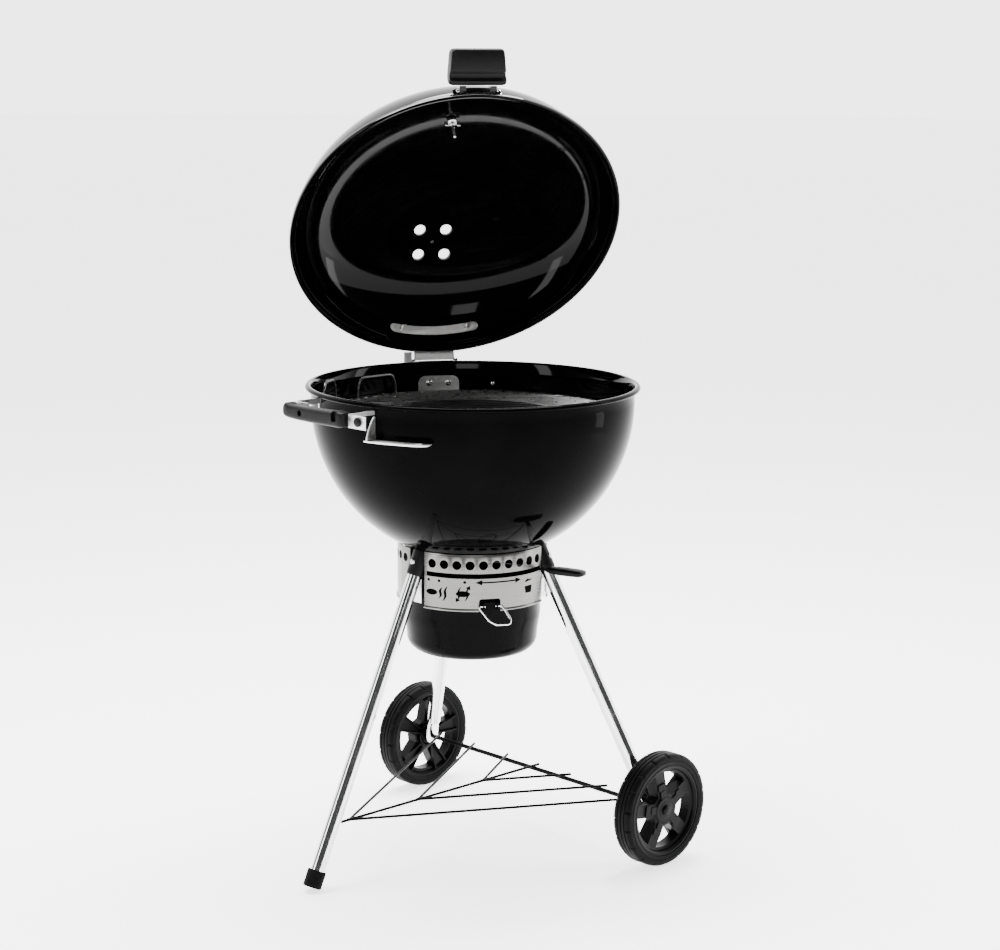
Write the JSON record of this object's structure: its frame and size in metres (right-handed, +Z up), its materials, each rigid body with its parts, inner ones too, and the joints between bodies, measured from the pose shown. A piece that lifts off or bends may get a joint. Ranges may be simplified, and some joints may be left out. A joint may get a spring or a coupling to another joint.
{
  "type": "kettle charcoal grill",
  "caption": "Round kettle charcoal grill on splayed tube legs with wheels, a hinged domed lid, lift-out grates, and an ash sweeper over a removable pot.",
  "frame": {"origin": "middle of the footprint box on the ground", "axes": "+Z up, -Y to the front where the lid's handle is, +Y to the lid's hinge, +X to the user's right"},
  "size_m": [0.7388, 0.7074, 1.4148],
  "materials": {
    "enamel": "gloss black porcelain enamel",
    "chrome": "bright plated steel",
    "brushed_steel": "fine horizontal brushing",
    "pot_paint": "satin black",
    "nylon": "moulded black nylon",
    "rubber": "matte black",
    "wheel_tread": "black tread with a fine moulded texture",
    "wheel_plastic": "satin black moulding",
    "black_wire": "black coated steel wire",
    "grate_steel": "drawn plated wire",
    "aluminised_steel": "aluminised steel"
  },
  "bodies": {
    "base": {"bowl": "enamel", "grate_rest_1": "chrome", "grate_rest_2": "chrome", "grate_rest_3": "chrome", "charcoal_rest_1": "chrome", "charcoal_rest_2": "chrome", "charcoal_rest_3": "chrome", "leg_front_left": "chrome", "leg_socket_front_left": "nylon", "leg_right": "chrome", "leg_socket_right": "nylon", "leg_rear": "chrome", "leg_socket_rear": "nylon", "foot_cap": "rubber", "axle": "chrome", "wire_rack": "black_wire", "ash_ring_front": "brushed_steel", "ash_ring_right": "brushed_steel", "ash_ring_left": "brushed_steel", "bowl_handle_grip": "nylon", "bowl_handle_bracket_left": "chrome", "bowl_handle_bracket_right": "chrome", "handle_knob": "nylon", "accessory_bracket": "chrome", "bowl_hinge_plate": "chrome", "hinge_base": "chrome", "hinge_pin": "chrome"},
    "lid": {"lid": "enamel", "thermometer": "chrome", "thermometer_stem": "chrome", "lid_handle_grip": "nylon", "lid_handle_bracket": "chrome", "lid_hinge": "chrome", "lid_hinge_plate": "chrome", "damper_rivet": "chrome"},
    "damper": {"lid_damper": "aluminised_steel"},
    "sweeper": {"sweeper_spindle": "pot_paint", "sweeper_blade_1": "aluminised_steel", "sweeper_blade_2": "aluminised_steel", "sweeper_blade_3": "aluminised_steel", "lever_arm": "black_wire", "lever_paddle": "nylon"},
    "ash_pot": {"ash_pot": "pot_paint", "pot_bail_bracket": "chrome"},
    "bail": {"pot_bail": "chrome"},
    "cooking_grate": {"cooking_grate": "grate_steel", "grate_loop_left": "grate_steel", "grate_loop_right": "grate_steel"},
    "rear_flap": {"grate_flap_rear": "grate_steel", "flap_loop_rear": "grate_steel"},
    "front_flap": {"grate_flap_front": "grate_steel", "flap_loop_front": "grate_steel"},
    "insert": {"grate_insert": "black_wire"},
    "charcoal_grate": {"charcoal_grate": "aluminised_steel"},
    "right_wheel": {"wheel_tyre_right": "wheel_tread", "wheel_hub_right": "wheel_plastic", "axle_cap_right": "wheel_plastic"},
    "rear_wheel": {"wheel_tyre_rear": "wheel_tread", "wheel_hub_rear": "wheel_plastic", "axle_cap_rear": "wheel_plastic"}
  },
  "joints": [
    {"name": "lid_hinge", "type": "hinge", "parent": "base", "child": "lid", "pos_m": [-0.02019, 0.26024, 0.8356], "axis": [-1, 0, 0], "range_deg": [-54, 0]},
    {"name": "damper_turn", "type": "hinge", "parent": "lid", "child": "damper", "pos_m": [-0.02019, 0.27406, 1.05701], "axis": [0, 0.9495, 0.3138], "range_deg": [0, 45]},
    {"name": "sweeper_turn", "type": "hinge", "parent": "base", "child": "sweeper", "pos_m": [-0.02019, -0.06076, 0.522], "axis": [0, 0, 1], "range_deg": [-94, 0]},
    {"name": "ash_pot_drop", "type": "slide", "parent": "base", "child": "ash_pot", "axis": [0, 0, 1], "range_m": [-0.12, 0]},
    {"name": "bail_swing", "type": "hinge", "parent": "ash_pot", "child": "bail", "pos_m": [-0.02019, -0.19626, 0.47], "axis": [1, 0, 0], "range_deg": [-70, 0]},
    {"name": "cooking_grate_lift", "type": "slide", "parent": "base", "child": "cooking_grate", "axis": [0, 0, 1], "range_m": [0, 0.06]},
    {"name": "rear_flap_hinge", "type": "hinge", "parent": "cooking_grate", "child": "rear_flap", "pos_m": [-0.02019, 0.10524, 0.784], "axis": [1, 0, 0], "range_deg": [0, 75]},
    {"name": "front_flap_hinge", "type": "hinge", "parent": "cooking_grate", "child": "front_flap", "pos_m": [-0.02019, -0.22676, 0.784], "axis": [-1, 0, 0], "range_deg": [0, 75]},
    {"name": "insert_lift", "type": "slide", "parent": "cooking_grate", "child": "insert", "axis": [0, 0, 1], "range_m": [0, 0.04]},
    {"name": "charcoal_grate_lift", "type": "slide", "parent": "base", "child": "charcoal_grate", "axis": [0, 0, 1], "range_m": [0, 0.09]},
    {"name": "right_wheel_spin", "type": "hinge", "parent": "base", "child": "right_wheel", "pos_m": [0.27572, -0.24729, 0.101], "axis": [0.5, -0.866, 0], "continuous": true},
    {"name": "rear_wheel_spin", "type": "hinge", "parent": "base", "child": "rear_wheel", "pos_m": [-0.03378, 0.28878, 0.101], "axis": [0.5, -0.866, 0], "continuous": true}
  ]
}
